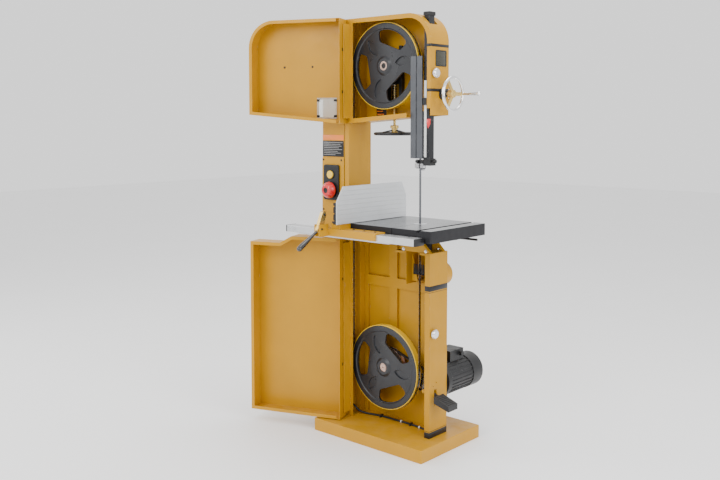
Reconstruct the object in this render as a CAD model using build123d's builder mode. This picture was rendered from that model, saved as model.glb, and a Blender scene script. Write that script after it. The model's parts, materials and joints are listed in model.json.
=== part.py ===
from build123d import *
import os
from math import acos, atan2, cos, hypot, pi, radians, sin

# Vertical floor-standing band saw. Millimetres, +Z up, +X to the operator's right, -Y towards the operator.
# The origin is the centre of the plinth's underside.

os.makedirs("parts", exist_ok=True)

# ---- driving dimensions ----
base_w, base_d, base_h, base_wall, base_rib = 616.0, 424.0, 55.0, 5.0, 10.0
gap = 0.5            # between neighbours that only stand beside each other
run = 0.05           # radial clearance of a shaft in its bearing or bush
sheet = 3.0          # sheet steel of the cabinets

wheel_x = -34.0      # both band wheels turn about axes at this X
wheel_d = 381.0      # over the tyre
lower_z = 306.0      # lower wheel's axis
blade_len = 3886.0   # length of the endless blade
upper_z = lower_z + (blade_len - pi * wheel_d) / 2
hub_y = -52.0        # front face of the wheel hubs
rim_y, rim_w = -49.0, 33.0
web_y, web_t = -45.0, 9.0
tyre_t = 3.0
hub_r, hub_back = 37.0, -12.0
axle_r = 12.5
blade_t, blade_w, blade_y = 0.8, 12.7, -38.0
blade_gap = 1.1      # blade stands off the tyre by this much, so that the wheel can tilt
blade_r = wheel_d / 2 + blade_gap
blade_x = wheel_x + blade_r + blade_t / 2

front_y = -82.0      # front plane of the frame
back_y, back_t = 40.0, 4.0
right_x = 249.0      # outer face of both cabinets' right walls
spine_x0, spine_x1, spine_step = -378.0, -211.5, -240.0
spine_back, spine_notch_y, spine_wall = 70.0, -4.0, 4.0
housing_top, corner_r = 1864.0, 123.0
floor_left, floor_right = 1398.0, 1433.0
deck_z, deck_x0 = 851.0, 60.0
lip_u, lip_l, lip_left = 20.0, 26.0, -189.0
back_top = 886.0

table_w, table_d, table_top = 546.0, 392.0, 968.0
table_x1, table_y0 = 360.0, -224.0
table_t, skirt_h, skirt_t = 14.0, 50.0, 9.0
slot_w, miter_w, miter_depth, miter_x = 3.0, 19.0, 9.5, 297.0
insert_r, insert_t = 30.0, 4.0
tilt_x, tilt_r, tilt_gap = blade_x, 95.0, 0.4
lock_y, lock_z = 118.0, 900.0
trunnion_y, trunnion_t = (-78.0, 16.0), 16.0

rail_x0, rail_x1, rail_y0, rail_y1, rail_z0, rail_z1 = -400.0, 326.0, -290.0, -232.0, 912.0, 941.0
fence_x, fence_h, fence_y0, fence_y1, fence_t = -65.0, 161.0, -318.0, 150.0, 5.0
fence_z = table_top + 2.0

hinge_x, hinge_y, hinge_r = -204.0, -124.0, 3.0
door_side = hinge_x + hinge_r + gap      # hinge-side flange, outer face, door shut
door_x1 = right_x - 2.0
door_front, door_rim, door_t, door_lip = -170.0, front_y - gap, 2.0, 15.0
door_open = 159.0
hinge_pin_r, knuckle = 1.2, 60.0
upper_hinge, lower_hinge = (1420.0, 1840.0), (80.0, 860.0)
upper_door_z1 = housing_top - 2.0
lower_door_z0, lower_door_z1, lower_door_step = base_h + 4.0, 884.0, 33.0

post_x0, post_x1, post_y0, post_y1 = 190.0, 218.0, -52.0, -15.0
post_z0, post_z1 = 1250.0, 1852.0
pinion_z, module, pinion_teeth = 1523.0, 1.25, 16
pinion_r = module * pinion_teeth / 2
rack_t = 4.0
crank_y = post_y1 + rack_t + pinion_r
guard_x0, guard_x1, guard_z0, guard_z1, guard_y = 127.0, 188.0, 1250.0, 1683.0, -62.0

motor_x, motor_z, motor_r, motor_y0, motor_y1 = 180.0, 270.0, 78.0, 52.0, 318.0
pulley_y0, pulley_y1, pulley_r, motor_pulley_r, belt_t = -7.0, 15.0, 75.0, 40.0, 4.0
motor_shaft_r = 9.5
port_x, port_z, port_r, port_wall, port_len = 186.0, 741.0, 50.8, 2.0, 56.0
screw_y, screw_r = 27.0, 6.0
hand_z = 1352.0


# ---- small helpers that draw in the open builder ----
def block(x, y, z, mode=Mode.ADD):
    """A box between a low and a high value on each axis."""
    with Locations(((x[0] + x[1]) / 2, (y[0] + y[1]) / 2, (z[0] + z[1]) / 2)):
        return Box(x[1] - x[0], y[1] - y[0], z[1] - z[0], mode=mode)


def rod_x(y, z, x, r, mode=Mode.ADD):
    """A cylinder along X, between a low and a high X."""
    with Locations(Location(((x[0] + x[1]) / 2, y, z), (0, 90, 0))):
        return Cylinder(r, x[1] - x[0], mode=mode)


def rod_y(x, z, y, r, mode=Mode.ADD):
    """A cylinder along Y, between a low and a high Y."""
    with Locations(Location((x, (y[0] + y[1]) / 2, z), (90, 0, 0))):
        return Cylinder(r, y[1] - y[0], mode=mode)


def rod_z(x, y, z, r, mode=Mode.ADD):
    """A cylinder along Z, between a low and a high Z."""
    with Locations(Location((x, y, (z[0] + z[1]) / 2))):
        return Cylinder(r, z[1] - z[0], mode=mode)


def front_plane(y):
    """A plane facing the operator at the given Y, with sketch x to the right and sketch y up."""
    return Plane.XZ.offset(-y)


def save(piece, node):
    """Label a finished piece and write it as one STEP file."""
    piece.part.label = node
    export_step(piece.part, f"parts/{node}.step")


def turned_shut(piece):
    """A copy of a door piece, drawn shut, swung to its open rest position about the hinge."""
    axis = Axis((hinge_x, hinge_y, 0), (0, 0, 1))
    return piece.part.rotate(axis, -door_open)


def save_open(piece, node):
    """Swing a door piece open and write it."""
    swung = turned_shut(piece)
    swung.label = node
    export_step(swung, f"parts/{node}.step")


# ---- plinth and spine ----
with BuildPart() as plinth:
    block((-base_w / 2, base_w / 2), (-base_d / 2, base_d / 2), (0, base_h))
    fillet(plinth.edges().filter_by(Axis.Z), 5)
    fillet(plinth.edges().group_by(Axis.Z)[-1], 3)
    cell_x = (base_w - 2 * base_wall - base_rib) / 2
    cell_y = (base_d - 2 * base_wall - base_rib) / 2
    with Locations((0, 0, (base_h - base_wall) / 2)):
        with GridLocations(cell_x + base_rib, cell_y + base_rib, 2, 2):
            Box(cell_x, cell_y, base_h - base_wall, mode=Mode.SUBTRACT)
save(plinth, "plinth")

with BuildPart() as spine:
    with BuildSketch(Plane.XY.offset(base_h)):
        with BuildLine():
            Polyline((spine_x0, front_y + 1), (spine_step, front_y + 1), (spine_step, spine_notch_y),
                     (spine_x1, spine_notch_y), (spine_x1, spine_back), (spine_x0, spine_back), close=True)
        make_face()
        fillet(vertices().sort_by(Axis.X)[:2], 5)
        offset(amount=-spine_wall, kind=Kind.INTERSECTION, mode=Mode.SUBTRACT)
    extrude(amount=housing_top - sheet - base_h)
save(spine, "spine_column")


# ---- upper wheel housing ----
def housing_face(inset, x_left, z_low, mode=Mode.ADD):
    """The housing's front outline, drawn in from its skin by inset, as a face in the open sketch."""
    top, right, r = housing_top - inset, right_x - inset, corner_r - inset
    bend = r * (1 - cos(radians(45)))
    with BuildLine() as outline:
        Polyline((right, z_low), (x_left, z_low), (x_left, top), (right - r, top))
        ThreePointArc((right - r, top), (right - bend, top - bend), (right, top - r))
        Line((right, top - r), (right, z_low))
    make_face(outline.edges(), mode=mode)


def floor_z(x):
    """Underside of the housing's sloping floor."""
    return floor_left + (floor_right - floor_left) * (x - spine_x1) / (right_x - spine_x1)


def hinge_fixed(z0, z1):
    """The frame's leaf and the pin of a piano hinge, in the open part."""
    block((hinge_x - 1, hinge_x + 1), (hinge_y + 5, front_y + 1), (z0, z1))
    rod_z(hinge_x, hinge_y, (z0 - 2, z1 + 2), hinge_pin_r)
    for low in knuckle_lows(z0, z1)[0::2]:
        rod_z(hinge_x, hinge_y, (low + 0.4, low + knuckle - 0.4), hinge_r)
        block((hinge_x - 1, hinge_x + 1), (hinge_y, hinge_y + 6), (low + 0.4, low + knuckle - 0.4))


def hinge_moving(z0, z1):
    """The door's leaf of a piano hinge, bored for the pin, in the open part."""
    block((door_side - 1.2, door_side), (hinge_y - 14, hinge_y - 5), (z0, z1))
    for low in knuckle_lows(z0, z1)[1::2]:
        rod_z(hinge_x, hinge_y, (low + 0.4, low + knuckle - 0.4), hinge_r)
        block((hinge_x, door_side), (hinge_y - 14, hinge_y), (low + 0.4, low + knuckle - 0.4))
    rod_z(hinge_x, hinge_y, (z0 - 3, z1 + 3), hinge_pin_r + run, mode=Mode.SUBTRACT)


def knuckle_lows(z0, z1):
    """The lower ends of a piano hinge's knuckles."""
    return [z0 + i * knuckle for i in range(int((z1 - z0) // knuckle))]


notch_x, notch_y = guard_x0 - 7.0, 8.0
with BuildPart() as upper_housing:
    with BuildSketch(front_plane(front_y)) as skin:
        housing_face(0, spine_x0, floor_right)
        housing_face(sheet, spine_x0 - 5, floor_right - 5, mode=Mode.SUBTRACT)
    extrude(skin.sketch, amount=-(back_y + back_t - front_y))
    with BuildSketch(front_plane(front_y)) as lip:
        housing_face(0, spine_x1, floor_right)
        housing_face(lip_u, spine_x1 - 5, floor_right - 5, mode=Mode.SUBTRACT)
    extrude(lip.sketch, amount=-sheet)
    block((right_x - 8, right_x + 2), (-46, 22), (1642, 1702), mode=Mode.SUBTRACT)
    rod_x(-58, 1609, (right_x - 8, right_x + 2), 7, mode=Mode.SUBTRACT)
    rod_x(crank_y, pinion_z, (right_x - 8, right_x + 2), 14.2, mode=Mode.SUBTRACT)
    block((post_x0 - 6, post_x1 + 6), (post_y0 - 6, post_y1 + 12), (1780, housing_top + 5), mode=Mode.SUBTRACT)
    with BuildSketch(front_plane(back_y)) as panel:
        housing_face(sheet, spine_x1, floor_z(spine_x1) + sheet)
        with BuildLine():
            Polyline((spine_x1 - 5, floor_left - 9), (right_x + 5, floor_left - 9),
                     (right_x + 5, floor_z(right_x + 5) + sheet), (spine_x1 - 5, floor_z(spine_x1 - 5) + sheet),
                     close=True)
        make_face(mode=Mode.SUBTRACT)
        with Locations((wheel_x, upper_z - 10)):
            SlotCenterToCenter(60, 44, rotation=90, mode=Mode.SUBTRACT)
    extrude(panel.sketch, amount=-back_t)
    with BuildSketch(front_plane(front_y)) as floor:
        with BuildLine():
            Polyline((spine_x1, floor_z(spine_x1)), (right_x - sheet, floor_z(right_x - sheet)),
                     (right_x - sheet, floor_z(right_x - sheet) + sheet), (spine_x1, floor_z(spine_x1) + sheet),
                     close=True)
        make_face()
    extrude(floor.sketch, amount=-(back_y + back_t - front_y))
    with BuildSketch(front_plane(front_y)) as floor_lip:
        with BuildLine():
            Polyline((lip_left, floor_z(lip_left) + sheet), (notch_x, floor_z(notch_x) + sheet),
                     (notch_x, floor_z(notch_x) + lip_u), (lip_left, floor_z(lip_left) + lip_u), close=True)
        make_face()
    extrude(floor_lip.sketch, amount=-sheet)
    block((notch_x, right_x - sheet), (front_y - 1, notch_y), (floor_left, floor_right + 30), mode=Mode.SUBTRACT)
    rod_z(wheel_x, screw_y, (floor_left - 5, floor_right), screw_r + 2, mode=Mode.SUBTRACT)
    block((spine_step + gap, lip_left), (front_y, front_y + sheet), (floor_left + 1, housing_top - 1))
    hinge_fixed(*upper_hinge)
save(upper_housing, "upper_housing")

with BuildPart() as return_cover:
    top_z = floor_left - gap
    block((spine_step + 4, spine_x1), (front_y, front_y + 2), (back_top + gap, top_z))
    block((spine_x1 - 2, spine_x1), (front_y, spine_notch_y), (back_top + gap, top_z))
save(return_cover, "blade_return_cover")

# ---- lower cabinet ----
pedal_y, pedal_pivot, pedal_pin_r = -38.0, (196.0, 246.0), 5.0
rib_x, rib_w, rib_d, rib_z, rib_low = -40.0, 46.0, 12.0, 677.0, 420.0
with BuildPart() as lower_cabinet:
    with BuildSketch(front_plane(back_y)):
        with BuildLine():
            Polyline((spine_x1, base_h), (right_x - sheet, base_h), (right_x - sheet, deck_z - sheet),
                     (deck_x0, deck_z - sheet), (deck_x0, back_top), (spine_x1, back_top), close=True)
        make_face()
        with Locations((wheel_x, lower_z)):
            Circle(34, mode=Mode.SUBTRACT)
        with Locations((motor_x, motor_z)):
            Circle(20, mode=Mode.SUBTRACT)
        with Locations((port_x, port_z)):
            Circle(port_r - port_wall, mode=Mode.SUBTRACT)
    extrude(amount=-back_t)
    block((right_x - sheet, right_x), (front_y, back_y + back_t), (base_h, deck_z))
    block((right_x - lip_l, right_x), (front_y, front_y + sheet), (base_h, deck_z))
    rod_x(-58, 507, (right_x - 8, right_x + 2), 7, mode=Mode.SUBTRACT)
    block((right_x - 8, right_x + 2), (pedal_y - 9, pedal_y + 9), (192, 262), mode=Mode.SUBTRACT)
    for y, z in ((pedal_y - 16, 278), (pedal_y + 6, 290)):
        rod_x(y, z, (right_x - 8, right_x + 2), 3, mode=Mode.SUBTRACT)
    block((deck_x0, right_x), (front_y, back_y + back_t), (deck_z - sheet, deck_z))
    block((deck_x0, right_x - 1), (front_y, front_y + sheet), (deck_z - 10, deck_z))
    block((blade_x - 40, blade_x + 36), (front_y - 1, 4), (deck_z - 12, deck_z + 1), mode=Mode.SUBTRACT)
    block((rib_x - rib_w / 2, rib_x + rib_w / 2), (back_y - rib_d, back_y), (rib_low, back_top))
    block((spine_x1, right_x - 1), (back_y - rib_d, back_y), (rib_z - rib_w / 2, rib_z + rib_w / 2))
    block((spine_x1, spine_x1 + 22), (back_y - rib_d, back_y), (base_h, back_top))
    block((spine_x1, lip_left), (front_y, back_y), (base_h, base_h + sheet))
    block((spine_step + gap, lip_left), (front_y, front_y + sheet), (base_h, back_top))
    hinge_fixed(*lower_hinge)
    rod_y(pedal_pivot[0], pedal_pivot[1], (pedal_y - 14, pedal_y + 16), pedal_pin_r)
    rod_y(pedal_pivot[0], pedal_pivot[1], (pedal_y - 17, pedal_y - 9), pedal_pin_r + 3)
    block((pedal_pivot[0] - 9, right_x - 1), (pedal_y + 10, pedal_y + 15), (pedal_pivot[1] - 10, pedal_pivot[1] + 10))
save(lower_cabinet, "lower_cabinet")

chute_x = 100.0
with BuildPart() as chute:
    block((chute_x, chute_x + 2), (-56, back_y - rib_d), (rib_z + rib_w / 2 + 2, deck_z - sheet - gap))
    with BuildSketch(Plane.YZ.offset(chute_x + 2)):
        with BuildLine():
            Polyline((-16, 712), (back_y - 1, 690 + rib_w / 2), (back_y - 1, 692 + rib_w / 2), (-16, 714), close=True)
        make_face()
    extrude(amount=right_x - sheet - chute_x - 3)
    with BuildSketch(front_plane(-16)):
        with BuildLine():
            Polyline((chute_x + 2, deck_z - sheet - gap), (chute_x + 2, 714), (chute_x + 34, 714), close=True)
        make_face()
    extrude(amount=-2)
save(chute, "dust_chute")

with BuildPart() as port:
    rod_y(port_x, port_z, (back_y + back_t, back_y + back_t + 3), port_r + 10)
    rod_y(port_x, port_z, (back_y + back_t, back_y + back_t + port_len), port_r)
    rod_y(port_x, port_z, (back_y + back_t - 1, back_y + back_t + port_len + 1), port_r - port_wall, mode=Mode.SUBTRACT)
save(port, "dust_port")

# ---- column controls ----
panel_x0, panel_x1, panel_z0, panel_z1 = spine_x0 + 1, spine_step, 988.0, 1240.0
panel_y = front_y + 1
switch_x, switch_w, switch_z0, switch_z1, switch_t = -314.0, 94.0, 1046.0, 1208.0, 10.0
start_z, stop_z = 1163.0, 1092.0
with BuildPart() as control_panel:
    block((panel_x0, panel_x1 - 1), (panel_y - 2, panel_y), (panel_z0, panel_z1))
    fillet(control_panel.edges().filter_by(Axis.Y), 3)
save(control_panel, "control_panel")

with BuildPart() as switch_box:
    block((switch_x - switch_w / 2, switch_x + switch_w / 2), (panel_y - 2 - switch_t, panel_y - 2), (switch_z0, switch_z1))
    fillet(switch_box.edges().filter_by(Axis.Y), 10)
    fillet(switch_box.faces().sort_by(Axis.Y)[0].edges(), 3)
    rod_y(switch_x, start_z, (panel_y - 20, panel_y - 4), 18 + gap, mode=Mode.SUBTRACT)
    rod_y(switch_x, stop_z, (panel_y - 20, panel_y - 4), 19 + gap, mode=Mode.SUBTRACT)
save(switch_box, "switch_box")

switch_front = panel_y - 2 - switch_t
with BuildPart() as start_button:
    rod_y(switch_x, start_z, (switch_front - 9, panel_y - 10), 18)
    fillet(start_button.edges().filter_by(GeomType.CIRCLE).sort_by(Axis.Y)[0], 3)
save(start_button, "start_button")

with BuildPart() as stop_button:
    with BuildSketch(Plane.YZ.offset(switch_x)):
        y0 = switch_front
        with BuildLine():
            Polyline((panel_y - 10, stop_z), (panel_y - 10, stop_z + 19), (y0 - 7, stop_z + 19), (y0 - 9, stop_z + 38))
            Spline((y0 - 9, stop_z + 38), (y0 - 20, stop_z + 36), (y0 - 34, stop_z + 26))
            Polyline((y0 - 34, stop_z + 26), (y0 - 36, stop_z + 22), (y0 - 36, stop_z + 13), (y0 - 28, stop_z + 11),
                     (y0 - 28, stop_z), (panel_y - 10, stop_z))
        make_face()
    revolve(axis=Axis((switch_x, 0, stop_z), (0, 1, 0)))
save(stop_button, "stop_button")


# ---- band wheels ----
def web_plane(z, y, angle):
    """A plane across a wheel's axis, facing the operator, with sketch x turned by an angle from +X."""
    x_dir = (cos(radians(angle)), 0, sin(radians(angle)))
    return Plane(origin=(wheel_x, y, z), x_dir=x_dir, z_dir=(0, -1, 0))


def wheel_casting(z, phase, bore_r, counterbore_r):
    """A cast wheel: hub, dished web with three windows and three leaf pockets, and a wide rim."""
    rim_r = wheel_d / 2 - tyre_t
    back = rim_y + rim_w
    with BuildPart() as casting:
        with BuildSketch(Plane.YZ.offset(wheel_x)):
            with BuildLine():
                Polyline((hub_y, z + 2), (hub_y, z + hub_r - 5), (hub_y + 3, z + hub_r), (web_y, z + hub_r + 6),
                         (web_y - 1, z + 80), (web_y, z + rim_r - 27), (rim_y, z + rim_r - 23), (rim_y, z + rim_r - 2),
                         (rim_y + 2, z + rim_r), (back, z + rim_r), (back, z + rim_r - 9),
                         (web_y + web_t + 3, z + rim_r - 12), (web_y + web_t, z + rim_r - 24),
                         (web_y + web_t, z + hub_r + 8), (hub_back, z + hub_r - 4), (hub_back, z + 2), close=True)
            make_face()
        revolve(axis=Axis((wheel_x, 0, z), (0, 1, 0)))
        rod_y(wheel_x, z, (hub_y - 1, hub_back + 1), bore_r, mode=Mode.SUBTRACT)
        rod_y(wheel_x, z, (hub_y - 1, hub_y + 12), counterbore_r, mode=Mode.SUBTRACT)
        for turn in range(3):
            with BuildSketch(web_plane(z, web_y - 10, phase + 120 * turn)) as window:
                edge_x, edge_y = 158 * cos(radians(33)), 158 * sin(radians(33))
                with BuildLine():
                    Polyline((edge_x, -edge_y), (90, -62), (90, 62), (edge_x, edge_y))
                    ThreePointArc((edge_x, edge_y), (158, 0), (edge_x, -edge_y))
                make_face()
                fillet(vertices(), 16)
            extrude(window.sketch, amount=-40, mode=Mode.SUBTRACT)
        for turn in range(3):
            with BuildSketch(web_plane(z, web_y + 5.5, phase + 60 + 120 * turn)) as pocket:
                with BuildLine():
                    ThreePointArc((64, 0), (104, 17), (146, 0))
                    ThreePointArc((146, 0), (104, -17), (64, 0))
                make_face()
            extrude(pocket.sketch, amount=12, taper=-20, mode=Mode.SUBTRACT)
    return casting


def tyre_ring(z):
    """The urethane tyre on a wheel's rim."""
    with BuildPart() as ring:
        rod_y(wheel_x, z, (rim_y + 2, rim_y + rim_w - 1), wheel_d / 2)
        chamfer(ring.edges().filter_by(GeomType.CIRCLE), 0.8)
        rod_y(wheel_x, z, (rim_y - 1, rim_y + rim_w + 1), wheel_d / 2 - tyre_t, mode=Mode.SUBTRACT)
    return ring


bearing_r = 20.0
save(wheel_casting(upper_z, 70, 13.5, bearing_r), "upper_wheel")
save(wheel_casting(lower_z, 52, axle_r, bearing_r), "lower_wheel")
save(tyre_ring(upper_z), "upper_tyre")
save(tyre_ring(lower_z), "lower_tyre")


def belt_outline(c1, r1, c2, r2, mode=Mode.ADD):
    """The outline of a belt round two circles, as a face in the open sketch."""
    way = atan2(c2[1] - c1[1], c2[0] - c1[0])
    spread = acos((r1 - r2) / hypot(c2[0] - c1[0], c2[1] - c1[1]))

    def on(c, r, a):
        return (c[0] + r * cos(a), c[1] + r * sin(a))

    a1, a2 = way + spread, way - spread
    with BuildLine() as outline:
        Line(on(c1, r1, a1), on(c2, r2, a1))
        ThreePointArc(on(c2, r2, a1), on(c2, r2, way), on(c2, r2, a2))
        Line(on(c2, r2, a2), on(c1, r1, a2))
        ThreePointArc(on(c1, r1, a2), on(c1, r1, way + pi), on(c1, r1, a1))
    make_face(outline.edges(), mode=mode)


def belt_solid(c1, r1, c2, r2, thick, y0, y1):
    """A closed flat belt of the given thickness, running outside two circles."""
    with BuildPart() as belt:
        with BuildSketch(front_plane(y0)):
            belt_outline(c1, r1 + thick, c2, r2 + thick)
            belt_outline(c1, r1, c2, r2, mode=Mode.SUBTRACT)
        extrude(amount=-(y1 - y0))
    return belt


lower_hub, upper_hub = (wheel_x, lower_z), (wheel_x, upper_z)
save(belt_solid(lower_hub, blade_r, upper_hub, blade_r, blade_t, blade_y, blade_y + blade_w), "saw_blade")
save(belt_solid(lower_hub, pulley_r + gap, (motor_x, motor_z), motor_pulley_r + gap, belt_t,
                pulley_y0 + 3, pulley_y1 - 3), "drive_belt")


def pulley(x, z, r, bore):
    """A flanged belt pulley along Y."""
    with BuildPart() as wheel:
        rod_y(x, z, (pulley_y0, pulley_y1), r)
        for y in (pulley_y0, pulley_y1 - 2):
            rod_y(x, z, (y, y + 2), r + 5)
        rod_y(x, z, (pulley_y0 - 1, pulley_y1 + 1), bore, mode=Mode.SUBTRACT)
        if r > 60:
            with Locations(Location((x, (pulley_y0 + pulley_y1) / 2, z), (90, 0, 0))):
                with PolarLocations(r * 0.62, 5):
                    Cylinder(r * 0.17, 60, mode=Mode.SUBTRACT)
    return wheel


def hub_cap(z):
    """The retaining washer and cap screw in the middle of a wheel hub."""
    with BuildPart() as cap:
        rod_y(wheel_x, z, (hub_y + 4, hub_y + 12), bearing_r)
        rod_y(wheel_x, z, (hub_y + 1.5, hub_y + 12), bearing_r - 4.5)
        rod_y(wheel_x, z, (hub_y + 0.5, hub_y + 3), 8.5)
        with BuildSketch(front_plane(hub_y)):
            with Locations((wheel_x, z)):
                RegularPolygon(4, 6)
        extrude(amount=-6, mode=Mode.SUBTRACT)
    return cap


with BuildPart() as spindle:
    add(pulley(wheel_x, lower_z, pulley_r, axle_r).part)
    rod_y(wheel_x, lower_z, (hub_y + 6, 86), axle_r)
    add(hub_cap(lower_z).part)
save(spindle, "lower_wheel_spindle")

race_r = 23.5
with BuildPart() as shaft_housing:
    rod_y(wheel_x, lower_z, (back_y - 10, back_y), 56)
    rod_y(wheel_x, lower_z, (18, 84), 33.5)
    rod_y(wheel_x, lower_z, (10, 90), race_r, mode=Mode.SUBTRACT)
save(shaft_housing, "lower_shaft_housing")


def ring_y(x, z, y0, y1, r_in, r_out):
    """A plain ring along Y, such as a bearing."""
    with BuildPart() as ring:
        rod_y(x, z, (y0, y1), r_out)
        rod_y(x, z, (y0 - 1, y1 + 1), r_in, mode=Mode.SUBTRACT)
    return ring


with BuildPart() as bearings:
    for y in (20, 70):
        rod_y(wheel_x, lower_z, (y, y + 12), race_r)
    rod_y(wheel_x, lower_z, (10, 90), axle_r + run, mode=Mode.SUBTRACT)
save(bearings, "lower_bearings")


save(ring_y(wheel_x, upper_z, hub_y + 1, hub_y + 12, axle_r + run, bearing_r), "upper_hub_bearing")

# ---- motor ----
with BuildPart() as motor:
    rod_y(motor_x, motor_z, (motor_y0, motor_y1 - 2), motor_r - 4)
    rod_y(motor_x, motor_z, (motor_y0, motor_y0 + 26), motor_r)
    rod_y(motor_x, motor_z, (motor_y1 - 76, motor_y1), motor_r)
    fillet(motor.edges().filter_by(GeomType.CIRCLE).sort_by(Axis.Y)[-1], 8)
    with Locations(Location((motor_x, (motor_y0 + motor_y1 - 50) / 2, motor_z), (90, 0, 0))):
        with PolarLocations(motor_r - 4, 28):
            Box(6, 3, motor_y1 - motor_y0 - 100)
    with Locations(Location((motor_x, motor_y1, motor_z), (90, 0, 0))):
        with PolarLocations(38, 12):
            Cylinder(6, 16, mode=Mode.SUBTRACT)
    block((motor_x - 72, motor_x + 66), (back_y + back_t, motor_y0), (motor_z - 66, motor_z + 66))
    rod_y(motor_x, motor_z, (back_y, motor_y0 + 40), motor_shaft_r + run, mode=Mode.SUBTRACT)
    block((motor_x - 46, motor_x + 34), (118, 218), (motor_z + motor_r - 8, motor_z + motor_r + 40))
    rod_x(190, motor_z + motor_r + 20, (motor_x + 34, motor_x + 50), 10)
save(motor, "motor_body")

with BuildPart() as rotor:
    add(pulley(motor_x, motor_z, motor_pulley_r, motor_shaft_r).part)
    rod_y(motor_x, motor_z, (pulley_y0 - 4, motor_y0 + 39), motor_shaft_r)
save(rotor, "motor_rotor")

# ---- upper wheel tension and tracking ----
car_w, car_z0, car_z1, rail_w = 60.0, upper_z - 78.0, upper_z + 60.0, 16.0
ear_x, ear_t = 24.0, 6.0
seat_z = upper_z - 150.0
knob_z = upper_z + 30.0
pivot_y, pivot_r = 8.0, 6.0
with BuildPart() as slide_rails:
    for side in (-1, 1):
        x = wheel_x + side * (car_w / 2 + gap + rail_w / 2)
        block((x - rail_w / 2, x + rail_w / 2), (18, back_y), (seat_z - 8, upper_z + 90))
    block((wheel_x - car_w / 2 - 2, wheel_x + car_w / 2 + 2), (18, back_y), (seat_z - 8, seat_z))
    rod_z(wheel_x, screw_y, (seat_z - 10, seat_z + 2), screw_r + gap, mode=Mode.SUBTRACT)
save(slide_rails, "tension_slide_rails")

with BuildPart() as carriage:
    block((wheel_x - car_w / 2, wheel_x + car_w / 2), (20, 38), (car_z0, car_z1))
    for side in (-1, 1):
        x = wheel_x + side * (ear_x + ear_t / 2 + gap)
        block((x - ear_t / 2, x + ear_t / 2), (pivot_y - 10, 20), (upper_z - 14, upper_z + 14))
    rod_x(pivot_y, upper_z, (wheel_x - 40, wheel_x + 40), pivot_r + run, mode=Mode.SUBTRACT)
    rod_z(wheel_x, screw_y, (car_z0 - 1, car_z0 + 60), screw_r + run, mode=Mode.SUBTRACT)
    rod_y(wheel_x, knob_z, (10, 45), 5 + run, mode=Mode.SUBTRACT)
save(carriage, "tension_carriage")

with BuildPart() as tilt_block:
    block((wheel_x - ear_x, wheel_x + ear_x), (-2, 18), (upper_z - 50, upper_z + 40))
    chamfer(tilt_block.edges().group_by(Axis.Y)[-1].filter_by(Axis.X), 2)
    rod_y(wheel_x, upper_z, (hub_y + 4, 10), axle_r)
    rod_x(pivot_y, upper_z, (wheel_x - ear_x - ear_t, wheel_x + ear_x + ear_t), pivot_r)
save(tilt_block, "upper_axle_bracket")

with BuildPart() as tracking_knob:
    rod_y(wheel_x, knob_z, (19, 74), 5)
    rod_y(wheel_x, knob_z, (54, 74), 22)
    with Locations(Location((wheel_x, 64, knob_z), (90, 0, 0))):
        with PolarLocations(23, 5):
            Cylinder(7, 20)
save(tracking_knob, "tracking_knob")

with BuildPart() as spring:
    coil_r, wire_r = 10.0, 1.9
    coil_h = car_z0 - seat_z - 2 * wire_r - 0.4
    with BuildLine():
        Helix(pitch=coil_h / 7, height=coil_h, radius=coil_r, center=(wheel_x, screw_y, seat_z + wire_r + 0.2))
    with BuildSketch(Plane(origin=(wheel_x + coil_r, screw_y, seat_z + wire_r + 0.2), x_dir=(1, 0, 0), z_dir=(0, 1, 0))):
        Circle(wire_r)
    sweep(is_frenet=True)
save(spring, "tension_spring")


def handwheel_rim(radius, tube):
    """A round rim about the local Z axis, in the open part."""
    with BuildSketch(Plane.XZ) as section:
        with Locations((radius, 0)):
            Circle(tube)
    revolve(section.sketch, axis=Axis.Z)


def placed(piece, plane):
    """A piece drawn about the origin, moved to a plane."""
    piece.part = piece.part.moved(plane.location)
    return piece


tension_plane = Plane(origin=(wheel_x, screw_y, hand_z))
with BuildPart() as tension_rim:
    handwheel_rim(86, 7)
    with PolarLocations(0, 3):
        with Locations(Location((50, 0, 7), (0, 12, 0))):
            Box(74, 15, 6)
    rod_z(0, 0, (0, 24), 14, mode=Mode.SUBTRACT)
save(placed(tension_rim, tension_plane), "tension_handwheel")

with BuildPart() as tension_hub:
    rod_z(0, 0, (0, 24), 14)
    rod_z(0, 0, (24, 38), 19)
    fillet(tension_hub.edges().filter_by(GeomType.CIRCLE).sort_by(Axis.Z)[-1], 3)
    rod_z(0, 0, (30, car_z0 + 40 - hand_z), screw_r)
save(placed(tension_hub, tension_plane), "tension_screw")

# ---- guide post, rack and crank ----
with BuildPart() as post_cap:
    block((post_x0 - 4, post_x1 + 4), (post_y0 - 4, post_y1 + 4), (post_z1, post_z1 + 16))
    fillet(post_cap.edges().filter_by(Axis.Z), 5)
    fillet(post_cap.edges().group_by(Axis.Z)[-1], 4)
save(post_cap, "guide_post_cap")

pitch = pi * module
rack_x = (post_x0 + 6, post_x1 - 6)
rack_teeth = 100
rack_z = pinion_z - pitch * 32
with BuildPart() as post:
    block((post_x0, post_x1), (post_y0, post_y1), (post_z0, post_z1))
    chamfer(post.edges().filter_by(Axis.Z), 2)
    with BuildSketch(Plane.YZ.offset(rack_x[0])) as rack:
        face_y = post_y1 + rack_t
        outline = [(post_y1, rack_z - pitch / 2)]
        outline.append((face_y - module, rack_z - pitch / 2))
        for tooth in range(rack_teeth):
            z = rack_z + tooth * pitch
            outline.append((face_y - module, z - 0.29 * pitch))
            outline.append((face_y + 0.8 * module, z - 0.12 * pitch))
            outline.append((face_y + 0.8 * module, z + 0.12 * pitch))
            outline.append((face_y - module, z + 0.29 * pitch))
        outline.append((face_y - module, rack_z + (rack_teeth - 0.5) * pitch))
        outline.append((post_y1, rack_z + (rack_teeth - 0.5) * pitch))
        with BuildLine():
            Polyline(*outline, close=True)
        make_face()
    extrude(rack.sketch, amount=rack_x[1] - rack_x[0])
save(post, "guide_post")

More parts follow.
